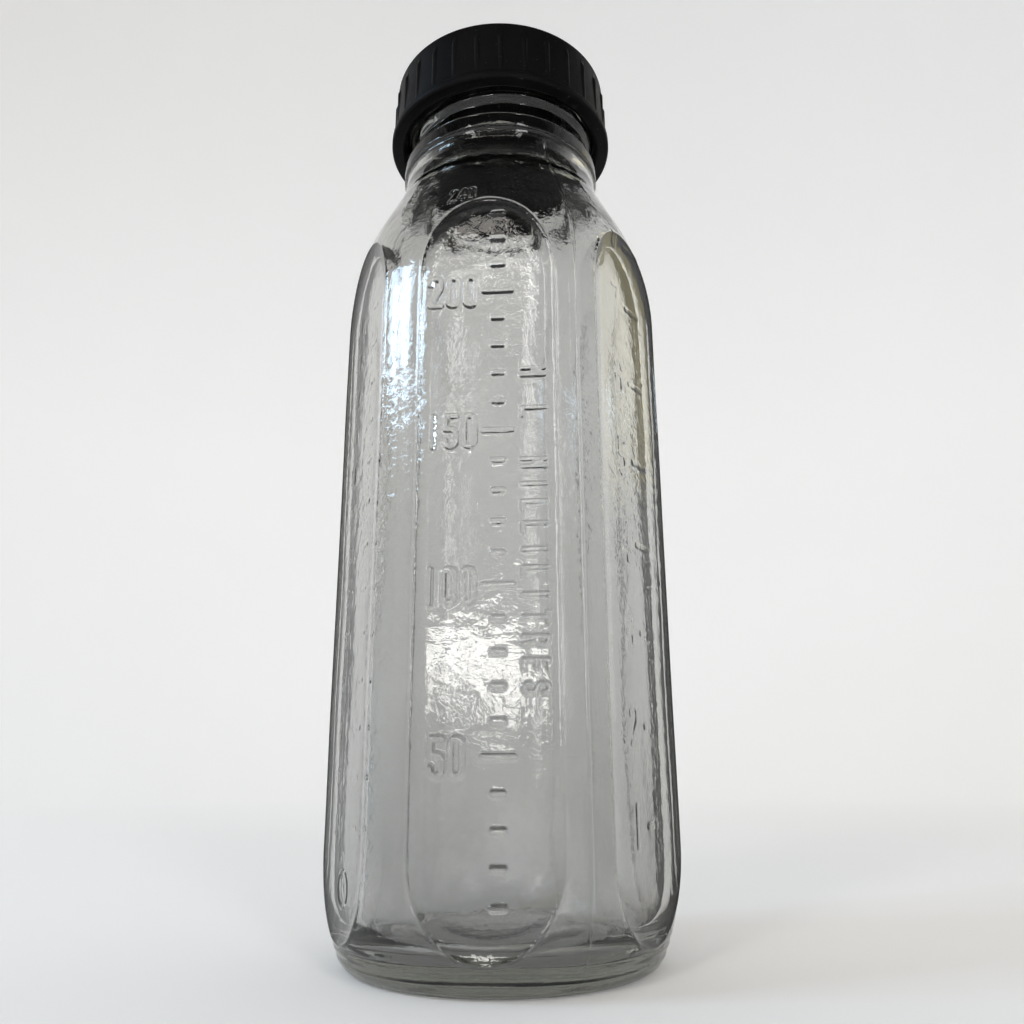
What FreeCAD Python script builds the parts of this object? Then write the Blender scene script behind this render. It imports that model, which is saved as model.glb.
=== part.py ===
import FreeCAD, Part
import math
import os
import Sketcher

# Glass nursing bottle with six flat panels, a raised measuring scale and a two-piece screw closure.
# Origin: centre of the base, on the surface the bottle stands on. +Z runs up the bottle's axis, and the
# panel with the main scale faces -Y. Lengths are in millimetres and angles in degrees.

DIMENSIONS = [
    # Glass, outside
    ("body_radius", 29.0, "radius of the round strips between the panels"),
    ("panel_apothem", 26.77, "distance from the axis to each flat panel"),
    ("panel_count", 6, "flat panels round the bottle"),
    ("punt_radius", 16.0, "flat centre of the pushed-up base"),
    ("punt_height", 2.0, "how far the base is pushed up"),
    ("punt_round", 12.0, "curve at the edge of that flat centre"),
    ("foot_inner", 21.7, "inner edge of the ring that the bottle stands on"),
    ("foot_outer", 25.05, "where the heel line would meet the standing surface"),
    ("foot_round", 3.3, "small curve at the bottom of the heel"),
    ("heel_corner", 9.74, "height where the heel line would meet the body"),
    ("heel_round", 42.0, "long curve of the heel"),
    ("shoulder_corner", 118.9, "height where the shoulder line would leave the body"),
    ("shoulder_round", 44.0, "long curve of the shoulder"),
    ("neck_radius", 19.1, "neck under the bead"),
    ("neck_corner", 138.7, "height where the shoulder line would meet the neck"),
    ("neck_round", 15.0, "hollow curve from shoulder to neck"),
    ("bead_radius", 19.5, "bead below the thread"),
    ("bead_bottom", 143.2, "underside of the bead"),
    ("bead_top", 146.5, "top of the bead"),
    ("bead_edge", 0.3, "edge round of the bead"),
    ("finish_radius", 17.5, "wall that carries the thread"),
    ("lip_top", 160.6, "rim of the mouth"),
    ("lip_round", 1.0, "edge rounds of the rim"),
    # Glass, inside
    ("bore_radius", 14.4, "hole through the neck"),
    ("bore_corner", 140.3, "height where the inner shoulder line would meet the bore"),
    ("bore_round", 12.0, "curve from the inner shoulder into the bore"),
    ("cavity_radius", 25.95, "inner wall behind the round strips"),
    ("cavity_apothem", 24.8, "inner wall behind the flat panels"),
    ("cavity_corner", 117.2, "height where the inner shoulder line would leave the wall"),
    ("cavity_round", 41.0, "curve of the inner shoulder"),
    ("cavity_heel_round", 7.0, "curve between inner wall and floor"),
    ("floor_edge", 3.7, "height of the floor at the wall"),
    ("floor_rise", 1.3, "how far the floor is domed up over the punt"),
    ("floor_flat", 10.0, "flat top of that dome"),
    ("inner_flat_half", 8.2, "half the width of each inner flat"),
    ("inner_flat_depth", 0.8, "how deep each inner flat is sunk into the wall"),
    ("inner_flat_bottom", 6.0, "where the inner flats start"),
    ("inner_flat_top", 119.0, "where they end, inside the shoulder"),
    # Thread, single start and right-handed
    ("thread_pitch", 4.233, "rise in one turn"),
    ("glass_thread_radius", 18.7, "crest of the thread on the glass"),
    ("glass_foot_half", 1.2, "half the width of that thread at its root"),
    ("glass_crest_half", 0.5, "half its width at its crest"),
    ("glass_thread_start", 150.2, "height of its lower end"),
    ("glass_thread_turns", 1.75, "turns of thread on the glass"),
    ("ring_thread_radius", 17.95, "crest of the thread in the ring"),
    ("ring_foot_half", 1.0, "half the width of that thread at its root"),
    ("ring_crest_half", 0.45, "half its width at its crest"),
    ("ring_thread_start", 152.8, "height of its lower end, just above the middle of the groove"),
    ("ring_thread_turns", 1.25, "turns of thread in the ring"),
    ("thread_bury", 0.2, "how far a thread's root is sunk into its wall"),
    ("thread_angle", 200.0, "bearing of the thread's lower end round the axis"),
    # Screw ring
    ("ring_bottom", 151.3, "lower rim of the ring"),
    ("ring_top", 165.0, "top of the ring"),
    ("ring_bead_radius", 22.3, "bead round the lower rim"),
    ("ring_bead_height", 1.5, "height of that bead"),
    ("ring_bead_round", 0.5, "edge rounds of that bead"),
    ("ring_bead_ease", 0.4, "height of the slope from bead to skirt"),
    ("ring_skirt_radius", 21.75, "skirt just above the bead"),
    ("ring_crown_radius", 21.3, "skirt at its top edge"),
    ("ring_crown_round", 0.9, "round of the top edge"),
    ("ring_mouth_radius", 19.9, "entry of the ring"),
    ("ring_mouth_depth", 1.0, "depth of that entry"),
    ("ring_wall_radius", 19.2, "inner wall that carries the thread"),
    ("ring_window_radius", 13.1, "round window in the top of the ring"),
    ("ring_flange", 2.0, "thickness of the top"),
    ("catch_radius", 18.35, "catch that carries the disc up with the ring"),
    ("catch_height", 160.9, "middle of the catch"),
    ("catch_half", 0.45, "half the height of the catch"),
    ("rib_count", 30, "grip ribs round the ring"),
    ("rib_round", 0.5, "round section of a grip rib"),
    ("rib_middle", 21.45, "distance from the axis to the middle of that section"),
    ("rib_bottom", 153.6, "lower end of the ribs"),
    ("rib_height", 8.2, "length of a rib"),
    # Sealing disc and its liner
    ("disc_radius", 18.6, "edge of the disc"),
    ("disc_bottom", 161.45, "underside of the disc"),
    ("disc_thick", 1.5, "thickness of the disc"),
    ("boss_radius", 12.8, "raised middle that fills the ring's window"),
    ("boss_top", 164.5, "top of that middle"),
    ("boss_round", 0.6, "edge round of that middle"),
    ("plug_outer", 13.4, "outside of the locating rim under the disc"),
    ("plug_inner", 12.0, "inside of that rim"),
    ("plug_drop", 1.6, "how far the rim reaches down into the mouth"),
    ("liner_outer", 17.3, "outside of the liner"),
    ("liner_thick", 0.8, "thickness of the liner"),
    # Raised scale
    ("mark_height", 0.45, "how far the marks stand out of the glass"),
    ("mark_bury", 0.3, "how far they are sunk into it"),
    ("stroke_width", 0.95, "width of a raised stroke"),
    ("scale_zero", 6.8, "height where the scale would read nothing"),
    ("tick_pitch", 4.894, "rise of the level for ten millilitres"),
    ("tick_centre", 1.75, "tick column, to the right of the panel's middle"),
    ("tick_length", 2.4, "short tick"),
    ("long_tick_length", 5.4, "tick at every fifty millilitres"),
    ("fine_stroke", 0.7, "width of the finer strokes"),
    ("ounce", 29.57, "millilitres in a fluid ounce"),
    ("side_centre", 3.0, "tick column of the ounce scale"),
    ("spoon_centre", 4.8, "tick column of the tablespoon scale"),
    ("mould_ring", 2.8, "outside of the plain ring under the tablespoon scale"),
    ("mould_ring_up", 12.4, "height of that ring"),
]

document = FreeCAD.newDocument("nursing_bottle")
sheet = document.addObject("Spreadsheet::Sheet", "Sizes")
SIZE = {}
for row, (alias, value, meaning) in enumerate(DIMENSIONS, start=1):
    sheet.set(f"A{row}", meaning)
    sheet.set(f"B{row}", str(value))
    sheet.setAlias(f"B{row}", alias)
    SIZE[alias] = float(value)
document.recompute()


def amount(terms):
    """The value of a sum of sizes written as 'size other -third', and the expression that binds it."""
    value = 0.0
    expression = "0 mm"
    for term in terms.split():
        sign = "-" if term.startswith("-") else "+"
        alias = term.lstrip("-")
        value += float(sign + "1") * SIZE[alias]
        expression += f" {sign} Sizes.{alias} * 1 mm"
    return value, expression


def origin_part(body, role):
    """One of the body's own origin planes or axes."""
    return next(feature for feature in body.Origin.OriginFeatures if feature.Role == role)


def new_body(name):
    body = document.addObject("PartDesign::Body", name)
    body.Label = name
    return body


def new_sketch(body, name, role, offset=FreeCAD.Placement()):
    sketch = body.newObject("Sketcher::SketchObject", name)
    sketch.AttachmentSupport = [(origin_part(body, role), "")]
    sketch.MapMode = "FlatFace"
    sketch.AttachmentOffset = offset
    return sketch


class Rules:
    """Collects a sketch's constraints and the expressions that bind them, and adds them in one go."""

    def __init__(self, sketch):
        self.sketch = sketch
        self.constraints = []
        self.bound = []

    def add(self, kind, *where):
        self.constraints.append(Sketcher.Constraint(kind, *where))

    def size(self, kind, where, terms):
        """A distance or radius that follows the sheet."""
        value, expression = amount(terms)
        self.bound.append((len(self.constraints), expression))
        self.constraints.append(Sketcher.Constraint(kind, *where, value))

    def place(self, geometry, end, across, up):
        """Fixes a point at sizes measured from the sketch's own axes; an empty size is on the axis."""
        if across:
            self.size("DistanceX", (-1, 1, geometry, end), across)
        else:
            self.add("PointOnObject", geometry, end, -2)
        if up:
            self.size("DistanceY", (-1, 1, geometry, end), up)
        else:
            self.add("PointOnObject", geometry, end, -1)

    def apply(self):
        self.sketch.addConstraint(self.constraints)
        for index, expression in self.bound:
            self.sketch.setExpression(f"Constraints[{index}]", expression)
        if self.sketch.solve() != 0:
            raise RuntimeError(f"{self.sketch.Name} can't be solved")


def flat_vector(x, y):
    return FreeCAD.Vector(x, y, 0)


def corner_arc(corner, back, ahead, radius):
    """The arc that rounds a corner between two directions, its two ends on the lines, and whether it
    runs clockwise."""
    half = back.getAngle(ahead) / 2
    reach = radius / math.tan(half)
    centre = corner + (back + ahead).normalize() * (radius / math.sin(half))
    near = corner + back * reach
    far = corner + ahead * reach
    clockwise = back.cross(ahead).z > 0
    first, last = (far, near) if clockwise else (near, far)
    start = math.atan2(first.y - centre.y, first.x - centre.x)
    stop = math.atan2(last.y - centre.y, last.x - centre.x)
    circle = Part.Circle(centre, FreeCAD.Vector(0, 0, 1), radius)
    return Part.ArcOfCircle(circle, start, stop), near, far, clockwise


def outline(sketch, corners):
    """Draws a closed outline through corners given as (across, up, round), each a sum of sizes.

    A corner with a round gets an arc tangent to both of its lines, so the outline stays smooth when a
    size changes."""
    points = [flat_vector(amount(across)[0], amount(up)[0]) for across, up, _ in corners]
    count = len(corners)
    arcs = {}
    ends = []
    for number, point in enumerate(points):
        radius = amount(corners[number][2])[0]
        if not radius:
            ends.append((point, point))
            continue
        back = (points[number - 1] - point).normalize()
        ahead = (points[(number + 1) % count] - point).normalize()
        arc, near, far, clockwise = corner_arc(point, back, ahead, radius)
        arcs[number] = (arc, clockwise)
        ends.append((near, far))
    rules = Rules(sketch)
    lines = []
    for number in range(count):
        line = Part.LineSegment(ends[number][1], ends[(number + 1) % count][0])
        lines.append(sketch.addGeometry(line, False))
    for number, (across, up, rounding) in enumerate(corners):
        before = lines[number - 1]
        after = lines[number]
        if number not in arcs:
            rules.add("Coincident", before, 2, after, 1)
            rules.place(after, 1, across, up)
            continue
        arc, clockwise = arcs[number]
        bend = sketch.addGeometry(arc, False)
        corner = sketch.addGeometry(Part.Point(points[number]), True)
        near, far = (2, 1) if clockwise else (1, 2)
        rules.add("Tangent", before, 2, bend, near)
        rules.add("Tangent", bend, far, after, 1)
        rules.add("PointOnObject", corner, 1, before)
        rules.add("PointOnObject", corner, 1, after)
        rules.place(corner, 1, across, up)
        rules.size("Radius", (bend,), rounding)
    rules.apply()


def revolve(body, name, corners):
    """A solid of revolution about the bottle's axis from an outline of (radius, height, round)."""
    sketch = new_sketch(body, name + "_outline", "XZ_Plane")
    outline(sketch, corners)
    turned = body.newObject("PartDesign::Revolution", name)
    turned.Profile = sketch
    turned.ReferenceAxis = (sketch, ["V_Axis"])
    turned.Angle = 360
    sketch.Visibility = False
    document.recompute()
    return turned


def repeat_round(body, feature, alias):
    """Repeats a feature round the bottle's axis, as often as the sheet says."""
    pattern = body.newObject("PartDesign::PolarPattern", feature.Name + "_pattern")
    pattern.Originals = [feature]
    pattern.Axis = (origin_part(body, "Z_Axis"), [""])
    pattern.Angle = 360
    pattern.setExpression("Occurrences", f"Sizes.{alias}")
    body.Tip = pattern
    document.recompute()
    return pattern


def thread(body, name, corners, turns):
    """A right-handed thread of the given section, starting at the sheet's bearing."""
    turn = FreeCAD.Rotation(FreeCAD.Vector(0, 1, 0), SIZE["thread_angle"])
    sketch = new_sketch(body, name + "_section", "XZ_Plane", FreeCAD.Placement(FreeCAD.Vector(), turn))
    sketch.setExpression("AttachmentOffset.Rotation.Angle", "Sizes.thread_angle * 1 deg")
    outline(sketch, corners)
    helix = body.newObject("PartDesign::AdditiveHelix", name)
    helix.Profile = sketch
    helix.ReferenceAxis = (sketch, ["V_Axis"])
    helix.Mode = "pitch-turns-angle"
    helix.setExpression("Pitch", "Sizes.thread_pitch * 1 mm")
    helix.setExpression("Turns", f"Sizes.{turns}")
    helix.LeftHanded = False
    helix.Reversed = False
    sketch.Visibility = False
    document.recompute()
    return helix


# --- Glass bottle -----------------------------------------------------------------------------------

def build_glass():
    body = new_body("glass")
    revolve(body, "glass_wall", [
        ("", "punt_height", ""),
        ("punt_radius", "punt_height", "punt_round"),
        ("foot_inner", "", "bead_edge"),
        ("foot_outer", "", "foot_round"),
        ("body_radius", "heel_corner", "heel_round"),
        ("body_radius", "shoulder_corner", "shoulder_round"),
        ("neck_radius", "neck_corner", "neck_round"),
        ("neck_radius", "bead_bottom", ""),
        ("bead_radius", "bead_bottom", "bead_edge"),
        ("bead_radius", "bead_top", "bead_edge"),
        ("finish_radius", "bead_top", "bead_edge"),
        ("finish_radius", "lip_top", "lip_round"),
        ("bore_radius", "lip_top", "lip_round"),
        ("bore_radius", "bore_corner", "bore_round"),
        ("cavity_radius", "cavity_corner", "cavity_round"),
        ("cavity_radius", "floor_edge", "cavity_heel_round"),
        ("floor_flat", "floor_edge floor_rise", "punt_round"),
        ("", "floor_edge floor_rise", ""),
    ])
    cut_panels(body)
    fill_inner_flats(body)
    thread(body, "glass_thread", [
        ("finish_radius -thread_bury", "glass_thread_start -glass_foot_half", ""),
        ("glass_thread_radius", "glass_thread_start -glass_crest_half", ""),
        ("glass_thread_radius", "glass_thread_start glass_crest_half", ""),
        ("finish_radius -thread_bury", "glass_thread_start glass_foot_half", ""),
    ], "glass_thread_turns")
    return body


def cut_panels(body):
    """Cuts one flat panel from top to bottom and repeats it round the bottle. The panel's arched ends are
    where its plane meets the round shoulder and heel."""
    sketch = new_sketch(body, "panel_outline", "XY_Plane")
    outline(sketch, [
        ("-body_radius", "-panel_apothem", ""),
        ("-body_radius", "-body_radius -mark_height", ""),
        ("body_radius", "-body_radius -mark_height", ""),
        ("body_radius", "-panel_apothem", ""),
    ])
    before = body.Tip.Shape.Volume
    pocket = body.newObject("PartDesign::Pocket", "panel")
    pocket.Profile = sketch
    pocket.Reversed = True
    pocket.setExpression("Length", "Sizes.neck_corner * 1 mm")
    document.recompute()
    if pocket.Shape.Volume > before - 1:
        raise RuntimeError("the panel's pocket points away from the glass")
    sketch.Visibility = False
    repeat_round(body, pocket, "panel_count")


def fill_inner_flats(body):
    """Thickens the wall behind each panel, so that the inside is flat there too."""
    sketch = new_sketch(body, "inner_flat_outline", "XY_Plane")
    sketch.setExpression("AttachmentOffset.Base.z", "Sizes.inner_flat_bottom * 1 mm")
    outline(sketch, [
        ("-inner_flat_half", "-cavity_apothem -inner_flat_depth", ""),
        ("inner_flat_half", "-cavity_apothem -inner_flat_depth", ""),
        ("inner_flat_half", "-cavity_apothem", ""),
        ("-inner_flat_half", "-cavity_apothem", ""),
    ])
    pad = body.newObject("PartDesign::Pad", "inner_flat")
    pad.Profile = sketch
    pad.setExpression("Length", "(Sizes.inner_flat_top - Sizes.inner_flat_bottom) * 1 mm")
    sketch.Visibility = False
    document.recompute()
    repeat_round(body, pad, "panel_count")


# --- Raised marks -----------------------------------------------------------------------------------

def tick(length, width):
    """One raised tick with its middle at the origin and round ends."""
    depth = SIZE["mark_height"] + SIZE["mark_bury"]
    reach = (length - width) / 2
    bar = Part.makeBox(2 * reach, width, depth, flat_vector(-reach, -width / 2))
    return bar.fuse([Part.makeCylinder(width / 2, depth, flat_vector(x, 0)) for x in (-reach, reach)])


def level(millilitres):
    """Height on the panel where the bottle holds this much."""
    return SIZE["scale_zero"] + SIZE["tick_pitch"] * millilitres / 10


class Panel:
    """A flat panel, counted round from the front one, that takes raised marks."""

    def __init__(self, name, turns):
        self.name = name
        self.turns = turns
        self.marks = []

    def add(self, shape, across, up):
        """Stands one flat mark upright on the panel."""
        sunk = SIZE["panel_apothem"] - SIZE["mark_bury"]
        lay = FreeCAD.Placement(flat_vector(across, up), FreeCAD.Rotation())
        upright = FreeCAD.Rotation(FreeCAD.Vector(1, 0, 0), 90)
        stand = FreeCAD.Placement(FreeCAD.Vector(0, -sunk, 0), upright)
        bearing = self.turns * 360 / SIZE["panel_count"]
        swing = FreeCAD.Rotation(FreeCAD.Vector(0, 0, 1), bearing)
        mark = document.addObject("Part::Feature", f"{self.name}_mark_{len(self.marks) + 1}")
        mark.Shape = shape
        mark.Placement = FreeCAD.Placement(flat_vector(0, 0), swing) * stand * lay
        self.marks.append(mark)


def front_marks():
    """Ticks every ten millilitres, with a long one at every fifty."""
    panel = Panel("front", 0)
    for held in range(10, 231, 10):
        length = SIZE["tick_length"] if held % 50 else SIZE["long_tick_length"]
        panel.add(tick(length, SIZE["stroke_width"]), SIZE["tick_centre"], level(held))
    return panel.marks


def ounce_marks():
    """A long tick at every fluid ounce."""
    panel = Panel("ounce", 1)
    for ounce in range(1, 8):
        up = level(SIZE["ounce"] * ounce)
        panel.add(tick(SIZE["long_tick_length"], SIZE["stroke_width"]), SIZE["side_centre"], up)
    return panel.marks


def spoon_marks():
    """A tick at every tablespoon, half an ounce, above a plain mould ring."""
    panel = Panel("spoon", -1)
    width = SIZE["fine_stroke"]
    for spoon in range(2, 15):
        panel.add(tick(SIZE["tick_length"], width), SIZE["spoon_centre"], level(SIZE["ounce"] / 2 * spoon))
    depth = SIZE["mark_height"] + SIZE["mark_bury"]
    ring = Part.makeCylinder(SIZE["mould_ring"], depth)
    panel.add(ring.cut(Part.makeCylinder(SIZE["mould_ring"] - width, depth)), 0, SIZE["mould_ring_up"])
    return panel.marks


# --- Closure ----------------------------------------------------------------------------------------

def build_ring():
    body = new_body("screw_ring")
    revolve(body, "ring_wall", [
        ("ring_mouth_radius", "ring_bottom", "bead_edge"),
        ("ring_bead_radius", "ring_bottom", "ring_bead_round"),
        ("ring_bead_radius", "ring_bottom ring_bead_height", "ring_bead_round"),
        ("ring_skirt_radius", "ring_bottom ring_bead_height ring_bead_ease", "bead_edge"),
        ("ring_crown_radius", "ring_top", "ring_crown_round"),
        ("ring_window_radius", "ring_top", "bead_edge"),
        ("ring_window_radius", "ring_top -ring_flange", ""),
        ("ring_wall_radius", "ring_top -ring_flange", ""),
        ("ring_wall_radius", "catch_height catch_half", ""),
        ("catch_radius", "catch_height", ""),
        ("ring_wall_radius", "catch_height -catch_half", ""),
        ("ring_wall_radius", "ring_bottom ring_mouth_depth ring_bead_ease", ""),
        ("ring_mouth_radius", "ring_bottom ring_mouth_depth", ""),
    ])
    add_rib(body)
    thread(body, "ring_thread", [
        ("ring_wall_radius thread_bury", "ring_thread_start -ring_foot_half", ""),
        ("ring_wall_radius thread_bury", "ring_thread_start ring_foot_half", ""),
        ("ring_thread_radius", "ring_thread_start ring_crest_half", ""),
        ("ring_thread_radius", "ring_thread_start -ring_crest_half", ""),
    ], "ring_thread_turns")
    return body


def add_rib(body):
    """One grip rib on the skirt, repeated round the ring."""
    sketch = new_sketch(body, "rib_outline", "XY_Plane")
    sketch.setExpression("AttachmentOffset.Base.z", "Sizes.rib_bottom * 1 mm")
    middle = flat_vector(0, -SIZE["rib_middle"])
    up = FreeCAD.Vector(0, 0, 1)
    circle = sketch.addGeometry(Part.Circle(middle, up, SIZE["rib_round"]), False)
    rules = Rules(sketch)
    rules.place(circle, 3, "", "-rib_middle")
    rules.size("Radius", (circle,), "rib_round")
    rules.apply()
    pad = body.newObject("PartDesign::Pad", "rib")
    pad.Profile = sketch
    pad.setExpression("Length", "Sizes.rib_height * 1 mm")
    sketch.Visibility = False
    document.recompute()
    repeat_round(body, pad, "rib_count")


def build_disc():
    body = new_body("sealing_disc")
    revolve(body, "disc_wall", [
        ("", "disc_bottom", ""),
        ("plug_inner", "disc_bottom", ""),
        ("plug_inner", "disc_bottom -plug_drop", "bead_edge"),
        ("plug_outer", "disc_bottom -plug_drop", "bead_edge"),
        ("plug_outer", "disc_bottom", ""),
        ("disc_radius", "disc_bottom", ""),
        ("disc_radius", "disc_bottom disc_thick", "bead_edge"),
        ("boss_radius", "disc_bottom disc_thick", ""),
        ("boss_radius", "boss_top", "boss_round"),
        ("", "boss_top", ""),
    ])
    return body


def build_liner():
    body = new_body("seal_liner")
    revolve(body, "liner_wall", [
        ("plug_outer", "disc_bottom -liner_thick", ""),
        ("liner_outer", "disc_bottom -liner_thick", "bead_edge"),
        ("liner_outer", "disc_bottom", ""),
        ("plug_outer", "disc_bottom", ""),
    ])
    return body


# --- Assembly and export ----------------------------------------------------------------------------

glass = build_glass()
glass_bottle = document.addObject("Part::MultiFuse", "glass_bottle")
glass_bottle.Shapes = [glass, *front_marks(), *ounce_marks(), *spoon_marks()]
glass_bottle.Label = "glass_bottle"
pieces = [glass_bottle, build_ring(), build_disc(), build_liner()]
for piece in pieces:
    piece.Placement = FreeCAD.Placement()
document.recompute()

for item in document.Objects:
    if "Invalid" in item.State or "Error" in item.State:
        raise RuntimeError(f"{item.Name} failed: {item.State}")
for piece in pieces:
    if piece.Shape.isNull() or not piece.Shape.isValid():
        raise RuntimeError(f"{piece.Label} has no valid shape")

os.makedirs("parts", exist_ok=True)
for piece in pieces:
    piece.Shape.exportStep(f"parts/{piece.Label}.step")
    print(piece.Label, "solids", len(piece.Shape.Solids), "volume", round(piece.Shape.Volume, 1))
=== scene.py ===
import math
import random

import bmesh
import bpy
import numpy as np
from mathutils import Matrix, Vector


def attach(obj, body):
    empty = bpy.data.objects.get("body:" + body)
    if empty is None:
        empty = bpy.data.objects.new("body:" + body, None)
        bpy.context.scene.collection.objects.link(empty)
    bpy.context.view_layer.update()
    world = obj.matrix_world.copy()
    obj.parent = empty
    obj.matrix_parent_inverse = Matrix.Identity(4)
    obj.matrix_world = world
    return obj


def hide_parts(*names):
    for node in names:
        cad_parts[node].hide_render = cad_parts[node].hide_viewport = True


# The looks of a glass nursing bottle with a black screw closure. Lengths are in millimetres until a mesh
# is finished, bearings in degrees round +Z from +X, and the front panel faces -Y.

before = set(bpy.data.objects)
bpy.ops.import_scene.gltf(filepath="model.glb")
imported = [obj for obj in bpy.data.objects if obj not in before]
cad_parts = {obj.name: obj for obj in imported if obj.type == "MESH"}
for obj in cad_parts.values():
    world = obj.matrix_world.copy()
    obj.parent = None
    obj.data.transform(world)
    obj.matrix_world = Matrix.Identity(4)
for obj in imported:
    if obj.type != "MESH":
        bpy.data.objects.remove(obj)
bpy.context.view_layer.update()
MM = 0.001
rng = random.Random(8)


# --- Camera -----------------------------------------------------------------------------------------

CAMERA_PLACE = (12.75, -152.5, 30.3)
CAMERA_YAW, CAMERA_TILT, CAMERA_ROLL = -4.03, 16.18, -0.31
CAMERA_LENS, CAMERA_SENSOR = 30.56, 36
CAMERA_NEAR = 5


def make_camera():
    """A phone's camera held low and close to the bottle, tilted up at it."""
    yaw, tilt, roll = (math.radians(angle) for angle in (CAMERA_YAW, CAMERA_TILT, CAMERA_ROLL))
    ahead = Vector((math.sin(yaw) * math.cos(tilt), math.cos(yaw) * math.cos(tilt), math.sin(tilt)))
    level = Vector((math.cos(yaw), -math.sin(yaw), 0))
    upright = level.cross(ahead)
    across = math.cos(roll) * level + math.sin(roll) * upright
    up = -math.sin(roll) * level + math.cos(roll) * upright
    camera = bpy.data.objects.new("camera", bpy.data.cameras.new("camera"))
    camera.matrix_world = Matrix((across, up, -ahead)).transposed().to_4x4()
    camera.location = Vector(CAMERA_PLACE) * MM
    camera.data.lens = CAMERA_LENS
    camera.data.sensor_width = CAMERA_SENSOR
    camera.data.clip_start = CAMERA_NEAR * MM
    bpy.context.scene.collection.objects.link(camera)
    bpy.context.scene.camera = camera


make_camera()


# --- Lines and turned surfaces ----------------------------------------------------------------------

ARC_CHORD = 0.8
ARC_TURN = math.radians(10)
REFINE_REACHES = (1.5, 1.05, 0.8)
WELD = 0.0004
FAR = 1e3


def trace(corners, closed=False):
    """The line through corners given as (across, up, round), each round a true arc."""
    points = [np.array(corner[:2], float) for corner in corners]
    line = []
    for number, here in enumerate(points):
        radius = corners[number][2]
        if not radius:
            line.append(here)
            continue
        back = points[number - 1] - here
        ahead = points[(number + 1) % len(points)] - here
        back /= np.linalg.norm(back)
        ahead /= np.linalg.norm(ahead)
        half = math.acos(np.clip(back @ ahead, -1, 1)) / 2
        middle = back + ahead
        centre = here + middle / np.linalg.norm(middle) * radius / math.sin(half)
        start = here + back * radius / math.tan(half) - centre
        end = here + ahead * radius / math.tan(half) - centre
        first = math.atan2(start[1], start[0])
        sweep = (math.atan2(end[1], end[0]) - first + math.pi) % math.tau - math.pi
        steps = max(2, math.ceil(abs(sweep) / min(ARC_TURN, ARC_CHORD / radius)))
        for step in range(steps + 1):
            angle = first + sweep * step / steps
            line.append(centre + radius * np.array((math.cos(angle), math.sin(angle))))
    if closed:
        line.append(line[0])
    return np.array(line)


def fill(line, gap):
    """The same line with points added where they are further apart than gap(across, up)."""
    rows = [line[0]]
    for start, end in zip(line[:-1], line[1:]):
        length = np.linalg.norm(end - start)
        if length < 1e-6:
            continue
        steps = max(1, math.ceil(length / gap(*(start + end) / 2)))
        rows += [start + (end - start) * step / steps for step in range(1, steps + 1)]
    return np.array(rows)


def all_round(bearings):
    """Sorted bearings from the lowest round to the lowest again."""
    once = sorted({round(bearing % 360, 3) for bearing in bearings})
    return np.array([*once, once[0] + 360])


def turned(name, corners, bearings, gap, shape, closed=False, near=None):
    """A closed surface turned about +Z from an outline.

    shape(bearing, along, radius, height) gives the radius and height of every point.
    near(bearing, along, radius, height), if given, is the distance to fine detail. Faces within each of
    the refining reaches are split in four, one reach after another.
    """
    line = fill(trace(corners, closed), gap)
    along = np.concatenate(([0], np.cumsum(np.linalg.norm(np.diff(line, axis=0), axis=1))))
    mesh = bmesh.new()
    grid = [[mesh.verts.new((bearing, travel, 0)) for bearing in bearings] for travel in along]
    for low, high in zip(grid[:-1], grid[1:]):
        for spot in range(len(bearings) - 1):
            mesh.faces.new((low[spot], low[spot + 1], high[spot + 1], high[spot]))
    for reach in (REFINE_REACHES if near else ()):
        faces = list(mesh.faces)
        middles = np.array([face.calc_center_median() for face in faces])
        places = [np.interp(middles[:, 1], along, line[:, axis]) for axis in (0, 1)]
        inside = near(middles[:, 0], middles[:, 1], *places) < reach
        edges = {edge for face, chosen in zip(faces, inside) if chosen for edge in face.edges}
        bmesh.ops.subdivide_edges(mesh, edges=list(edges), cuts=1, use_grid_fill=True)
    flat = np.array([vertex.co for vertex in mesh.verts])
    places = [np.interp(flat[:, 1], along, line[:, axis]) for axis in (0, 1)]
    radius, height = shape(flat[:, 0], flat[:, 1], *places)
    turn = np.radians(flat[:, 0])
    for vertex, x, y, z in zip(mesh.verts, radius * np.cos(turn), radius * np.sin(turn), height):
        vertex.co = (x, y, z)
    bmesh.ops.remove_doubles(mesh, verts=mesh.verts, dist=WELD)
    bmesh.ops.triangulate(mesh, faces=[face for face in mesh.faces if len(face.verts) > 4])
    bmesh.ops.recalc_face_normals(mesh, faces=mesh.faces)
    bmesh.ops.scale(mesh, vec=(MM, MM, MM), verts=mesh.verts)
    for face in mesh.faces:
        face.smooth = True
    data = bpy.data.meshes.new(name)
    mesh.to_mesh(data)
    mesh.free()
    piece = bpy.data.objects.new(name, data)
    bpy.context.scene.collection.objects.link(piece)
    return piece


def ease(share):
    """0 to 1 with a smooth start and end."""
    share = np.clip(share, 0, 1)
    return share * share * (3 - 2 * share)


def soft_low(first, second, blend):
    """The lower of two heights, blended where they cross."""
    gap = np.abs(first - second)
    return np.minimum(first, second) - blend * np.log1p(np.exp(-gap / blend))


def ripple(bearing, height, size, waves):
    """Slow unevenness of pressed glass: waves round and up the wall."""
    total = np.zeros_like(bearing)
    for turns, rise, phase in waves:
        total += np.sin(np.radians(bearing) * turns + height * rise + phase)
    return total * size / math.sqrt(len(waves))


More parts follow.
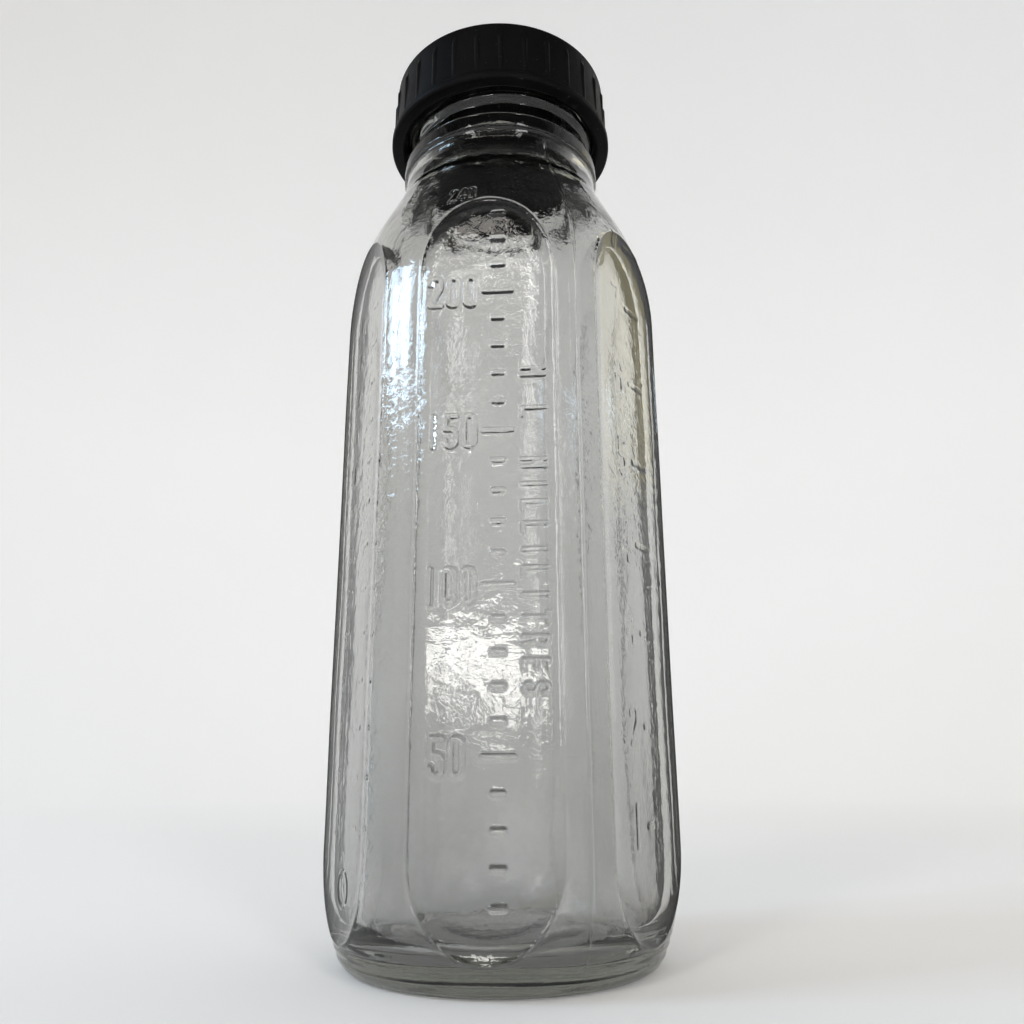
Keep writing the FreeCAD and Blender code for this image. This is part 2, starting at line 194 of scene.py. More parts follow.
# The thread, single start and right-handed
THREAD_BEARING = 200
THREAD_PITCH = 4.233
THREAD_FADE = 0.07
GLASS_THREAD = {"start": 150.2, "turns": 1.75, "foot_half": 1.2, "crest_half": 0.5}
RING_THREAD = {"start": 152.8, "turns": 1.25, "foot_half": 1.0, "crest_half": 0.45}
GLASS_THREAD_HEIGHT, RING_THREAD_HEIGHT = 1.2, 1.25


def thread_rise(bearing, height, start, turns, foot_half, crest_half):
    """Share of a thread's full height at each point, fading out at both ends."""
    rise = np.zeros_like(bearing)
    base = ((bearing - THREAD_BEARING) % 360) / 360
    for lap in range(math.ceil(turns) + 1):
        turn = base + lap
        off = np.abs(height - start - THREAD_PITCH * turn)
        flank = np.clip((foot_half - off) / (foot_half - crest_half), 0, 1)
        fade = ease(np.minimum(turn, turns - turn) / THREAD_FADE)
        rise = np.maximum(rise, ease(flank) * fade)
    return rise


# --- Raised scale -----------------------------------------------------------------------------------

# A glyph is a list of strokes on a cell one unit wide and three units high with its middle at (0, 0).
# A stroke is open or closed and runs through corners given as (across, up, round).
OPEN, CLOSED = False, True
GLYPHS = {
    "0": [(CLOSED, [(-0.5, 1.5, 0.5), (0.5, 1.5, 0.5), (0.5, -1.5, 0.5), (-0.5, -1.5, 0.5)])],
    "1": [(OPEN, [(0, 1.5, 0), (0, -1.5, 0)])],
    "2": [(OPEN, [(-0.5, 0.8, 0), (-0.5, 1.5, 0.5), (0.5, 1.5, 0.5), (0.5, 0.4, 0.4), (-0.5, -1.5, 0),
                  (0.55, -1.5, 0)])],
    "3": [(OPEN, [(-0.5, 0.9, 0), (-0.5, 1.5, 0.5), (0.5, 1.5, 0.5), (0.5, 0, 0.5), (-0.1, 0, 0)]),
          (OPEN, [(-0.1, 0, 0), (0.5, 0, 0.5), (0.5, -1.5, 0.5), (-0.5, -1.5, 0.5), (-0.5, -0.9, 0)])],
    "4": [(OPEN, [(0.25, -1.5, 0), (0.25, 1.5, 0), (-0.55, -0.6, 0), (0.65, -0.6, 0)])],
    "5": [(OPEN, [(0.5, 1.5, 0), (-0.45, 1.5, 0), (-0.5, 0.2, 0), (0.5, 0.2, 0.5), (0.5, -1.5, 0.5),
                  (-0.5, -1.5, 0.5), (-0.5, -0.9, 0)])],
    "6": [(OPEN, [(0.5, 0.9, 0), (0.5, 1.5, 0.5), (-0.5, 1.5, 0.5), (-0.5, -1.5, 0.5), (0.5, -1.5, 0.5),
                  (0.5, 0.2, 0.5), (-0.5, 0.2, 0)])],
    "7": [(OPEN, [(-0.55, 1.5, 0), (0.5, 1.5, 0), (-0.1, -1.5, 0)])],
    "8": [(CLOSED, [(-0.45, 1.5, 0.45), (0.45, 1.5, 0.45), (0.45, 0.05, 0.45), (-0.45, 0.05, 0.45)]),
          (CLOSED, [(-0.5, 0.05, 0.5), (0.5, 0.05, 0.5), (0.5, -1.5, 0.5), (-0.5, -1.5, 0.5)])],
    "9": [(OPEN, [(-0.5, -0.9, 0), (-0.5, -1.5, 0.5), (0.5, -1.5, 0.5), (0.5, 1.5, 0.5), (-0.5, 1.5, 0.5),
                  (-0.5, -0.2, 0.5), (0.5, -0.2, 0)])],
    "M": [(OPEN, [(-0.5, -1.5, 0), (-0.5, 1.5, 0), (0, 0.1, 0), (0.5, 1.5, 0), (0.5, -1.5, 0)])],
    "I": [(OPEN, [(0, 1.5, 0), (0, -1.5, 0)])],
    "L": [(OPEN, [(-0.5, 1.5, 0), (-0.5, -1.5, 0), (0.55, -1.5, 0)])],
    "T": [(OPEN, [(-0.6, 1.5, 0), (0.6, 1.5, 0)]), (OPEN, [(0, 1.5, 0), (0, -1.5, 0)])],
    "R": [(OPEN, [(-0.5, -1.5, 0), (-0.5, 1.5, 0), (0.5, 1.5, 0.5), (0.5, 0.1, 0.5), (-0.5, 0.1, 0)]),
          (OPEN, [(0, 0.1, 0), (0.5, -1.5, 0)])],
    "E": [(OPEN, [(0.5, 1.5, 0), (-0.5, 1.5, 0), (-0.5, -1.5, 0), (0.5, -1.5, 0)]),
          (OPEN, [(-0.5, 0, 0), (0.35, 0, 0)])],
    "S": [(OPEN, [(0.5, 0.9, 0), (0.5, 1.5, 0.5), (-0.5, 1.5, 0.5), (-0.5, 0.05, 0.5), (0.5, 0.05, 0.5),
                  (0.5, -1.5, 0.5), (-0.5, -1.5, 0.5), (-0.5, -0.9, 0)])],
}
UNIT_SHORT, UNIT_WORD = "ML", "MILLILITRES"
PANEL_APOTHEM = 26.77
PANEL_TURN = 60
FRONT_BEARING = -90
SCALE_ZERO = 6.8
TEN_MILLILITRES = 4.894
OUNCE = 29.57
# How far marks stand out, how much of that is lost up the wall, and the share of a stroke its flanks take
MARK_HEIGHT = 0.6
SIDE_MARK_HEIGHT = 0.11
MARK_FADE = 0.5
MARK_FADE_FROM, MARK_FADE_OVER = 75, 40
MARK_FOOT, MARK_FLANK = 0.75, 0.55
MARK_MARGIN = 2
# Widths of strokes, then the columns, heights and sizes of ticks, numbers and letters on each panel
BROAD, FINE = 0.95, 0.72
TICK_COLUMN, NUMBER_COLUMN, NUMBER_TALL = 1.75, -5.6, 6.0
SHORT_TICK, LONG_TICK = 2.4, 5.4
TOP_NUMBER_COLUMN, TOP_NUMBER_UP, TOP_NUMBER_WIDTH = -4.6, 123.8, 0.6
WORD_COLUMN, WORD_TOP, WORD_TALL, LETTER_STEP = 7.3, 90, 4.3, 3.4
WORD_LEAD = 4.5
OUNCE_COLUMN, OUNCE_TALL, TOP_OUNCE_UP = 3, 7.0, 120.5
SMALL_TALL = 3.6
SPOON_COLUMN, SPOON_TALL = 4.8, 3.0
MOULD_RING_RADIUS, MOULD_RING_UP, MOULD_RING_CORNERS = 2.45, 12.4, 33


def level(millilitres):
    """Height on the wall where the bottle holds this much."""
    return SCALE_ZERO + TEN_MILLILITRES * millilitres / 10


class Panel:
    """The raised marks of one panel, in places across and up the flat glass."""

    def __init__(self, turns, tall=MARK_HEIGHT):
        self.bearing = FRONT_BEARING + PANEL_TURN * turns
        self.tall = tall
        self.strokes = []

    def stroke(self, points, width):
        self.strokes.append((np.array(points, float), width))

    def tick(self, across, up, length, width=BROAD):
        reach = (length - width) / 2
        self.stroke([(across - reach, up), (across + reach, up)], width)

    def glyph(self, character, across, up, tall, width, downward=False):
        """One character; downward ones lie on their side, with their tops to the right."""
        unit = (tall - width) / 3
        for closed, corners in GLYPHS[character]:
            line = trace([tuple(value * unit for value in corner) for corner in corners], closed)
            if downward:
                line = np.column_stack((line[:, 1], -line[:, 0]))
            self.stroke(line + (across, up), width)

    def number(self, text, across, up, tall, width=BROAD):
        step = (tall - width) / 3 + width * 1.25
        first = across - step * (len(text) - 1) / 2
        for place, character in enumerate(text):
            self.glyph(character, first + step * place, up, tall, width)

    def place(self, bearing):
        """Places across the panel, far off where the bearing is outside it."""
        turn = (bearing - self.bearing + 180) % 360 - 180
        return np.where(np.abs(turn) < PANEL_TURN / 2, PANEL_APOTHEM * np.tan(np.radians(turn)), FAR)

    def distances(self, bearing, height):
        """The distance from every point to each stroke, with that stroke's width."""
        across = self.place(bearing)
        for line, width in self.strokes:
            apart = np.full(len(across), FAR)
            low, high = line.min(0) - MARK_MARGIN, line.max(0) + MARK_MARGIN
            close = (across > low[0]) & (across < high[0]) & (height > low[1]) & (height < high[1])
            spots = np.column_stack((across[close], height[close]))
            best = np.full(len(spots), FAR)
            for start, end in zip(line[:-1], line[1:]):
                run = end - start
                share = np.clip((spots - start) @ run / max(run @ run, 1e-12), 0, 1)
                gap = np.linalg.norm(spots - start - share[:, None] * run, axis=1)
                best = np.minimum(best, gap)
            apart[close] = best
            yield apart, width


def front_panel():
    """The main scale: a tick at every ten millilitres, numbers at every fifty, and the unit's name."""
    panel = Panel(0)
    for held in range(10, 231, 10):
        panel.tick(TICK_COLUMN, level(held), SHORT_TICK if held % 50 else LONG_TICK)
    for held in (50, 100, 150, 200):
        panel.number(str(held), NUMBER_COLUMN, level(held), NUMBER_TALL)
    panel.number("240", TOP_NUMBER_COLUMN, TOP_NUMBER_UP, SMALL_TALL, TOP_NUMBER_WIDTH)
    for place, character in enumerate(UNIT_SHORT):
        up = WORD_TOP - 2 * LETTER_STEP * place
        panel.glyph(character, WORD_COLUMN, up, WORD_TALL, FINE, downward=True)
    for place, character in enumerate(UNIT_WORD):
        up = WORD_TOP - LETTER_STEP * (place + WORD_LEAD)
        panel.glyph(character, WORD_COLUMN, up, WORD_TALL, FINE, downward=True)
    return panel


def ounce_panel():
    """A number and a long tick at every fluid ounce."""
    panel = Panel(1, SIDE_MARK_HEIGHT)
    for ounce in range(1, 8):
        panel.number(str(ounce), -OUNCE_COLUMN, level(OUNCE * ounce), OUNCE_TALL)
        panel.tick(OUNCE_COLUMN, level(OUNCE * ounce), LONG_TICK)
    panel.number("8", -OUNCE_COLUMN, TOP_OUNCE_UP, SMALL_TALL)
    panel.tick(OUNCE_COLUMN, TOP_OUNCE_UP, LONG_TICK)
    return panel


def spoon_panel():
    """A small number and a tick at every tablespoon, above a plain mould ring."""
    panel = Panel(-1, SIDE_MARK_HEIGHT)
    for spoon in range(2, 15):
        up = level(OUNCE / 2 * spoon)
        panel.number(str(spoon), -SPOON_COLUMN, up, SPOON_TALL, FINE)
        panel.tick(SPOON_COLUMN, up, SHORT_TICK, FINE)
    turns = np.linspace(0, math.tau, MOULD_RING_CORNERS)
    ring = np.column_stack((np.cos(turns), np.sin(turns))) * MOULD_RING_RADIUS
    panel.stroke(ring + (0, MOULD_RING_UP), FINE)
    return panel


PANELS = [front_panel(), ounce_panel(), spoon_panel()]


def mark_rise(bearing, height):
    """How far the scale's marks stand out of the glass; the upper ones are pressed less deep."""
    rise = np.zeros_like(bearing)
    full = 1 - MARK_FADE * ease((height - MARK_FADE_FROM) / MARK_FADE_OVER)
    for panel in PANELS:
        for apart, width in panel.distances(bearing, height):
            flank = ease((width * MARK_FOOT - apart) / (width * MARK_FLANK))
            rise = np.maximum(rise, full * panel.tall * flank)
    return rise


# --- Glass ------------------------------------------------------------------------------------------

GLASS_OUTSIDE = [
    (0, 2.0, 0), (16, 2.0, 12), (21.7, 0, 0.3), (25.05, 0, 3.3), (29, 9.74, 42), (29, 118.9, 44),
    (19.1, 138.7, 15), (19.1, 143.2, 0), (19.5, 143.2, 0.3), (19.5, 146.5, 1.1), (17.5, 146.5, 0.3),
    (17.5, 160.6, 1), (14.4, 160.6, 1),
]
GLASS_INSIDE = [
    (14.4, 140.3, 12), (25.95, 117.2, 41), (25.95, 3.7, 7), (10, 5.0, 12), (0, 5.0, 0),
]
BODY_RADIUS = 29.0
CAVITY_APOTHEM, CAVITY_BLEND = 25.4, 1.2
# A panel's outline: a bevel and a raised rim, crisp in front and worn at the back
PANEL_LEEWAY = 0.08
EDGE_BLEND, WORN_BLEND, WORN_BEVEL = 0.05, 0.1, 0.6
WORN_FROM, WORN_OVER = -0.2, 0.6
BEVEL_DEPTH, BEVEL_DROP = 0.7, 0.32
RIM_DEPTH, RIM_HEIGHT = 0.16, 0.13
EDGE_SLOPE, EDGE_LEEWAY, CRISP_TO = 0.4, 0.81, 0.2
HEEL_BAND, HEEL_TOP, HEEL_INNER = 0.06, 6.5, 21
HEEL_RATE, HEEL_SWAY, HEEL_SWAYS = 3.9, 0.8, 5
SEAM_BEARINGS = (-60, 120)
SEAM_HALF, SEAM_HEIGHT = 0.3, 0.12
SEAM_BOTTOM, SEAM_TOP, SEAM_FADE = 1, 143, 3
OUTER_RIPPLE, INNER_RIPPLE = 0.04, 0.08
RIPPLE_BOTTOM, RIPPLE_TOP = 6, 138
MARKS_BOTTOM, MARKS_TOP = 8, 127
FINISH_BOTTOM, FINISH_TOP, FINISH_INNER = 147, 160.4, 17.2


def across_panel(bearing, apothem):
    """Distance from the axis to the nearest flat of that apothem."""
    turn = (bearing - FRONT_BEARING + PANEL_TURN / 2) % PANEL_TURN - PANEL_TURN / 2
    return apothem / np.cos(np.radians(turn))


def panel_cut(bearing, radius):
    """How much deeper than the round body the flat of a panel lies; nothing at the panel's outline."""
    return radius - across_panel(bearing, PANEL_APOTHEM + PANEL_LEEWAY)


def glass_bearings():
    """Close together at the panels' edges and the mould seams, where the wall turns."""
    edge = math.degrees(math.acos(PANEL_APOTHEM / BODY_RADIUS))
    steps = range(-5, 4)
    bearings = []
    for panel in range(6):
        middle = FRONT_BEARING + PANEL_TURN * panel
        bearings += [middle + turn for turn in np.linspace(-18, 18, 19)]
        bearings += [middle + side * edge + step for side in (-1, 1) for step in steps]
        bearings += [middle + PANEL_TURN / 2 + turn for turn in (-3, -1.5, 0, 1.5, 3)]
    for seam in SEAM_BEARINGS:
        bearings += [seam + turn for turn in (-0.9, -0.6, -0.3, 0.3, 0.6, 0.9)]
    return all_round(bearings)


def glass_gap(radius, height):
    """Points close together on the thread and the heel's bands, further apart inside than outside."""
    if height > FINISH_BOTTOM:
        return 0.4
    if height < HEEL_TOP and radius > HEEL_INNER:
        return 0.35
    return 1.2 if radius > 26 else 2.0


def make_waves(count):
    """Waves for ripple: how many round the bottle, how steeply they climb, and where they start."""
    return [(rng.randint(2, 12), rng.uniform(-0.25, 0.25), rng.uniform(0, math.tau)) for _ in range(count)]


OUTER_WAVES, INNER_WAVES = make_waves(7), make_waves(9)
# Fine lines drawn down the inner wall, in the same form as the waves
DRAW_LINES = [(rng.randint(16, 40), rng.uniform(-0.01, 0.01), rng.uniform(0, math.tau)) for _ in range(9)]
DRAW_DEPTH = 0.018


def panelled(bearing, radius):
    """The round body with its flat panels, each with a bevel and a fine raised rim, worn at the back."""
    cut = panel_cut(bearing, radius)
    worn = ease((np.sin(np.radians(bearing)) - WORN_FROM) / WORN_OVER)
    blend = EDGE_BLEND + WORN_BLEND * worn
    flat = -soft_low(-cut, 0, blend)
    floor = -soft_low(BEVEL_DEPTH - cut, 0, blend)
    bevel = BEVEL_DROP * (1 - WORN_BEVEL * worn) * (flat - floor) / BEVEL_DEPTH
    rim = RIM_HEIGHT * (1 - worn) * ease(1 - np.abs(cut) / RIM_DEPTH)
    return radius - flat - bevel + rim


def heel_bands(bearing, height):
    """Fine bands round the heel, left by the mould's base."""
    bands = np.sin(height * HEEL_RATE + HEEL_SWAY * np.sin(np.radians(bearing) * HEEL_SWAYS))
    return HEEL_BAND * bands * ease(height / 1.5) * ease((HEEL_TOP - height) / 2)


def seam_rise(bearing, radius, height):
    """The two fine seams where the mould's halves met, from the heel up to the bead."""
    total = np.zeros_like(radius)
    for seam in SEAM_BEARINGS:
        off = np.abs((bearing - seam + 180) % 360 - 180) * math.radians(1) * radius
        total += SEAM_HEIGHT * ease(1 - off / SEAM_HALF)
    return total * ease((height - SEAM_BOTTOM) / SEAM_FADE) * ease((SEAM_TOP - height) / SEAM_FADE)


def outside_of(along, height):
    """The part of the outline up to the rim of the mouth, which is the outer skin."""
    return along <= along[np.argmax(height)]


def shape_glass(bearing, along, radius, height):
    """The panelled, marked and threaded outside, and the inside with soft flats behind the panels."""
    outside = outside_of(along, height)
    wall = ease((height - RIPPLE_BOTTOM) / 6) * ease((RIPPLE_TOP - height) / 8)
    outer = panelled(bearing, radius) + heel_bands(bearing, height) + seam_rise(bearing, radius, height)
    outer += wall * ripple(bearing, height, OUTER_RIPPLE, OUTER_WAVES)
    marked = (height > MARKS_BOTTOM) & (height < MARKS_TOP) & outside
    outer[marked] += mark_rise(bearing[marked], height[marked])
    finish = (height > FINISH_BOTTOM) & (height < FINISH_TOP) & (radius > FINISH_INNER)
    outer[finish] += GLASS_THREAD_HEIGHT * thread_rise(bearing[finish], height[finish], **GLASS_THREAD)
    inner = soft_low(radius, across_panel(bearing, CAVITY_APOTHEM), CAVITY_BLEND)
    inner += wall * ripple(bearing, height, INNER_RIPPLE, INNER_WAVES)
    inner += wall * ripple(bearing, height, DRAW_DEPTH, DRAW_LINES)
    return np.where(outside, outer, inner), height


def near_detail(bearing, along, radius, height):
    """Distance to the nearest mark or, with some leeway, crisp edge of a panel, for the outside only."""
    best = np.abs(panel_cut(bearing, radius)) / EDGE_SLOPE + EDGE_LEEWAY
    best[np.sin(np.radians(bearing)) > CRISP_TO] = FAR
    for panel in PANELS:
        for apart, _ in panel.distances(bearing, height):
            best = np.minimum(best, apart)
    return np.where(outside_of(along, height), best, FAR)


# --- Closure ----------------------------------------------------------------------------------------

RING_OUTLINE = [
    (19.9, 151.3, 0.3), (22.3, 151.3, 0.5), (22.3, 152.8, 0.5), (21.75, 153.2, 0.3), (21.3, 165, 0.9),
    (13.1, 165, 0.4), (13.1, 163, 0), (19.2, 163, 0), (19.2, 161.35, 0), (18.35, 160.9, 0.1),
    (19.2, 160.45, 0), (19.2, 152.7, 0), (19.9, 152.3, 0),
]
RIB_COUNT, RIB_PHASE = 30, FRONT_BEARING + 5.1
RIB_ROUND, RIB_MIDDLE = 0.5, 21.35
RIB_BOTTOM, RIB_TOP = 153.6, 161.8
# Bearings across a rib's flank, from its middle
RIB_STEPS = (0.33, 0.65, 0.95, 1.2, 1.45, 1.9, 2.8, 4.3)
RIB_PITCH = 360 / RIB_COUNT
RIB_BLEND, RIB_SINK = 0.06, 5
SKIRT_INNER, SKIRT_BOTTOM = 20.5, 153.2
THREAD_WALL, THREAD_WALL_TOP = (19.1, 19.3), 160.4


def ring_bearings():
    """Close together on each rib's flanks."""
    steps = [0, RIB_PITCH / 2, *RIB_STEPS, *(-step for step in RIB_STEPS)]
    return all_round([RIB_PHASE + RIB_PITCH * rib + step for rib in range(RIB_COUNT) for step in steps])


def ring_gap(radius, height):
    """Points close together on the thread and at the ends of the ribs."""
    inside = radius < 19.5 and 152 < height < 160.5
    at_rib_end = min(abs(height - RIB_BOTTOM), abs(height - RIB_TOP)) < 0.8 and radius > 21
    if inside:
        return 0.35
    return 0.2 if at_rib_end else 1.0


def shape_ring(bearing, along, radius, height):
    """The skirt with round-ended grip ribs, and the wall inside it with its thread."""
    turn = (bearing - RIB_PHASE + RIB_PITCH / 2) % RIB_PITCH - RIB_PITCH / 2
    across = np.radians(turn) * RIB_MIDDLE
    beyond = height - np.clip(height, RIB_BOTTOM + RIB_ROUND, RIB_TOP - RIB_ROUND)
    square = RIB_ROUND ** 2 - across ** 2 - beyond ** 2
    rib = RIB_MIDDLE + np.sqrt(np.maximum(square, 0)) - np.where(square > 0, 0, RIB_SINK)
    skirt = (radius > SKIRT_INNER) & (height > SKIRT_BOTTOM)
    radius = np.where(skirt, -soft_low(-radius, -rib, RIB_BLEND), radius)
    wall = (radius > THREAD_WALL[0]) & (radius < THREAD_WALL[1]) & (height < THREAD_WALL_TOP)
    depth = RING_THREAD_HEIGHT * thread_rise(bearing, height, **RING_THREAD)
    return np.where(wall, radius - depth, radius), height


DISC_OUTLINE = [
    (0, 161.45, 0), (12, 161.45, 0.2), (12, 159.85, 0.3), (13.4, 159.85, 0.3), (13.4, 161.45, 0.1),
    (18.6, 161.45, 0.3), (18.6, 162.95, 0.3), (12.8, 162.95, 0.15), (12.8, 164.5, 0.5), (10.6, 164.5, 0.25),
    (10.3, 164.2, 0.25), (1.6, 164.2, 0.2), (1.3, 164.35, 0.15), (0, 164.35, 0),
]
LINER_OUTLINE = [
    (13.4, 160.65, 0.15), (17.3, 160.65, 0.3), (17.3, 161.45, 0.15), (13.4, 161.45, 0.15),
]
TURN_STEP = 2.5


def plain_shape(bearing, along, radius, height):
    """A plainly turned piece, the same all round."""
    return radius, height


def every(step):
    """Bearings all round at an even step."""
    return all_round(np.arange(0, 360, step))


# --- Materials --------------------------------------------------------------------------------------

class Finish:
    """A node material built up one node at a time."""

    def __init__(self, name):
        self.material = bpy.data.materials.new(name)
        self.material.use_nodes = True
        self.tree = self.material.node_tree
        self.shader = self.tree.nodes["Principled BSDF"]
        self.output = self.tree.nodes["Material Output"]
        self.spot = self.add("ShaderNodeTexCoord").outputs["Object"]

    def add(self, kind, **inputs):
        """A node; names of inputs use _ for a space, and a value may be a socket to link."""
        node = self.tree.nodes.new(kind)
        for name, value in inputs.items():
            self.put(node.inputs[name.replace("_", " ")], value)
        return node

    def put(self, socket, value):
        """Links a socket to the input, or sets the input to a plain value."""
        if isinstance(value, bpy.types.NodeSocket):
            self.tree.links.new(value, socket)
        else:
            socket.default_value = value

    def set(self, **inputs):
        """Inputs of the surface shader, named as in add."""
        for name, value in inputs.items():
            self.put(self.shader.inputs[name.replace("_", " ")], value)

    def stretched(self, scale):
        """The place on the piece, stretched by a scale along each axis."""
        return self.add("ShaderNodeMapping", Vector=self.spot, Scale=scale).outputs["Vector"]

    def noise(self, scale, detail=3.0, rough=0.55, place=None, warp=0.0):
        node = self.add("ShaderNodeTexNoise", Vector=place or self.spot, Scale=scale, Detail=detail,
                        Roughness=rough, Distortion=warp)
        return node.outputs["Fac"]

    def ramp(self, value, low, high, start=0.0, end=1.0):
        """The value's stretch from low to high spread over start to end."""
        node = self.add("ShaderNodeMapRange", Value=value)
        for name, number in (("From Min", low), ("From Max", high), ("To Min", start), ("To Max", end)):
            node.inputs[name].default_value = number
        return node.outputs["Result"]

    def maths(self, work, first, second):
        node = self.tree.nodes.new("ShaderNodeMath")
        node.operation = work
        self.put(node.inputs[0], first)
        self.put(node.inputs[1], second)
        return node.outputs[0]

    def colours(self, share, first, second):
        node = self.tree.nodes.new("ShaderNodeMix")
        node.data_type = "RGBA"
        self.put(node.inputs["Factor"], share)
        self.put(node.inputs["A"], (*first, 1) if isinstance(first, tuple) else first)
        self.put(node.inputs["B"], (*second, 1) if isinstance(second, tuple) else second)
        return node.outputs["Result"]

    def bump(self, height, distance, strength=1.0, after=None):
        node = self.add("ShaderNodeBump", Height=height, Distance=distance, Strength=strength)
        if after:
            self.put(node.inputs["Normal"], after)
        return node.outputs["Normal"]


GLASS_LOW, GLASS_HIGH, GLASS_FOOT = (0.66, 0.66, 0.655), (0.86, 0.86, 0.855), (0.75, 0.755, 0.74)
GLASS_HAZE, GLASS_BODY, GLASS_DENSITY = (0.78, 0.78, 0.775), (0.645, 0.65, 0.62, 1), 90
BLACK_DEEP, BLACK_FLOW = (0.002, 0.002, 0.0024), (0.004, 0.0036, 0.0038)
BLACK_RUBBED, BLACK_DUST = (0.03, 0.029, 0.028), (0.12, 0.115, 0.11)
RUBBER_DARK, RUBBER_BLOOM = (0.045, 0.042, 0.040), (0.10, 0.095, 0.09)


def glass_finish():
    """Old pressed glass: grey and darker towards the bottom, with ripples, peel, faint haze and rubs."""
    finish = Finish("clear_glass")
    haze = finish.noise(45, 5, 0.6)
    rubs = finish.noise(900, 2, place=finish.stretched((1, 1, 0.12)))
    patch = finish.ramp(haze, 0.52, 0.75)
    rise = finish.add("ShaderNodeSeparateXYZ", Vector=finish.spot).outputs["Z"]
    clear = finish.colours(finish.ramp(rise, 15 * MM, 110 * MM), GLASS_LOW, GLASS_HIGH)
    clear = finish.colours(finish.ramp(rise, 0.0, 7 * MM), GLASS_FOOT, clear)
    finish.set(Base_Color=finish.colours(patch, clear, GLASS_HAZE),
               Roughness=finish.ramp(finish.maths("MULTIPLY", rubs, haze), 0.15, 0.5, 0.0, 0.06))
    ripples = finish.noise(70, 2, place=finish.stretched((1, 1, 0.25)))
    normal = finish.bump(ripples, 0.0004, 0.35)
    above, below = finish.ramp(rise, 50 * MM, 70 * MM), finish.ramp(rise, 105 * MM, 85 * MM)
    peeled = finish.maths("MULTIPLY", above, below)
    peel = finish.noise(480, 3)
    normal = finish.bump(peel, 0.00014, finish.ramp(peeled, 0, 1, 0.45, 1.0), normal)
    finish.set(IOR=1.51, Transmission_Weight=1.0, Normal=finish.bump(rubs, 0.00001, 0.5, normal))
    body = finish.add("ShaderNodeVolumeAbsorption")
    body.inputs["Color"].default_value = GLASS_BODY
    body.inputs["Density"].default_value = GLASS_DENSITY
    finish.tree.links.new(body.outputs["Volume"], finish.output.inputs["Volume"])
    return finish.material


def thermoset_finish(name, shine_low, shine_high, wear):
    """Moulded black thermoset gone dull: flow marks, hairline scratches, dust and rubbed edges."""
    finish = Finish(name)
    flow = finish.noise(110, 4, 0.6, warp=0.8)
    hair = finish.noise(1400, 2, place=finish.stretched((1, 0.06, 0.25)))
    cross = finish.noise(1200, 2, place=finish.stretched((0.08, 1, 0.2)))
    scratch = finish.ramp(finish.maths("MAXIMUM", hair, cross), 0.66, 0.74)
    dust = finish.ramp(finish.noise(2600, 1), 0.74, 0.80)
    edges = finish.ramp(finish.add("ShaderNodeNewGeometry").outputs["Pointiness"], 0.53, 0.62)
    rubbed = finish.maths("MULTIPLY", edges, finish.ramp(flow, 0.4, 0.65, 0.2, wear))
    colour = finish.colours(flow, BLACK_DEEP, BLACK_FLOW)
    colour = finish.colours(rubbed, colour, BLACK_RUBBED)
    colour = finish.colours(finish.maths("MULTIPLY", dust, 0.5), colour, BLACK_DUST)
    shine = finish.ramp(flow, 0.3, 0.7, shine_low, shine_high)
    rough = finish.maths("ADD", shine, finish.maths("MULTIPLY", scratch, 0.15))
    finish.set(Base_Color=colour, Roughness=rough, IOR=1.4, Specular_IOR_Level=0.08)
    normal = finish.bump(flow, 0.00015, 0.3)
    normal = finish.bump(scratch, -0.00001, 0.6, normal)
    finish.set(Normal=finish.bump(dust, 0.00002, 0.5, normal))
    return finish.material


def rubber_finish():
    """Dark rubber, matt, with fine grain and a chalky bloom."""
    finish = Finish("liner_rubber")
    bloom = finish.ramp(finish.noise(160, 5, 0.65), 0.5, 0.75)
    grain = finish.noise(3500, 3)
    finish.set(Base_Color=finish.colours(bloom, RUBBER_DARK, RUBBER_BLOOM),
               Roughness=finish.ramp(grain, 0.3, 0.7, 0.6, 0.8), Normal=finish.bump(grain, 0.00003, 0.7))
    return finish.material


# --- Pieces -----------------------------------------------------------------------------------------

def fit(piece, material, body, node):
    """Gives a piece its material and ties it to the frame."""
    piece.data.materials.append(material)
    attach(piece, body)
    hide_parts(node)


bottle = turned("bottle_glass", GLASS_OUTSIDE + GLASS_INSIDE, glass_bearings(), glass_gap, shape_glass,
                near=near_detail)
ring = turned("ring_ribbed", RING_OUTLINE, ring_bearings(), ring_gap, shape_ring, closed=True)
disc = turned("disc_moulded", DISC_OUTLINE, every(TURN_STEP), lambda radius, height: 0.8, plain_shape)
liner = turned("liner_soft", LINER_OUTLINE, every(TURN_STEP), lambda radius, height: 0.5, plain_shape,
               closed=True)
fit(bottle, glass_finish(), "bottle", "glass_bottle")
fit(ring, thermoset_finish("black_plastic", 0.36, 0.48, 0.8), "ring", "screw_ring")
fit(disc, thermoset_finish("black_disc", 0.4, 0.5, 0.5), "disc", "sealing_disc")
fit(liner, rubber_finish(), "disc", "seal_liner")


# --- Studio -----------------------------------------------------------------------------------------

COVE_RADIUS, COVE_CURVE, COVE_HEIGHT = 1100, 450, 1500
COVE_GAP, COVE_SIDES = 60, 96
COVE_WARM, COVE_PALE, COVE_PAINTED_SHADE = (0.82, 0.805, 0.785), (0.85, 0.835, 0.815), (0.06, 0.06, 0.06)
COVE_GLOW = 0.26
LAMP_TARGET = (0, 0, 80)


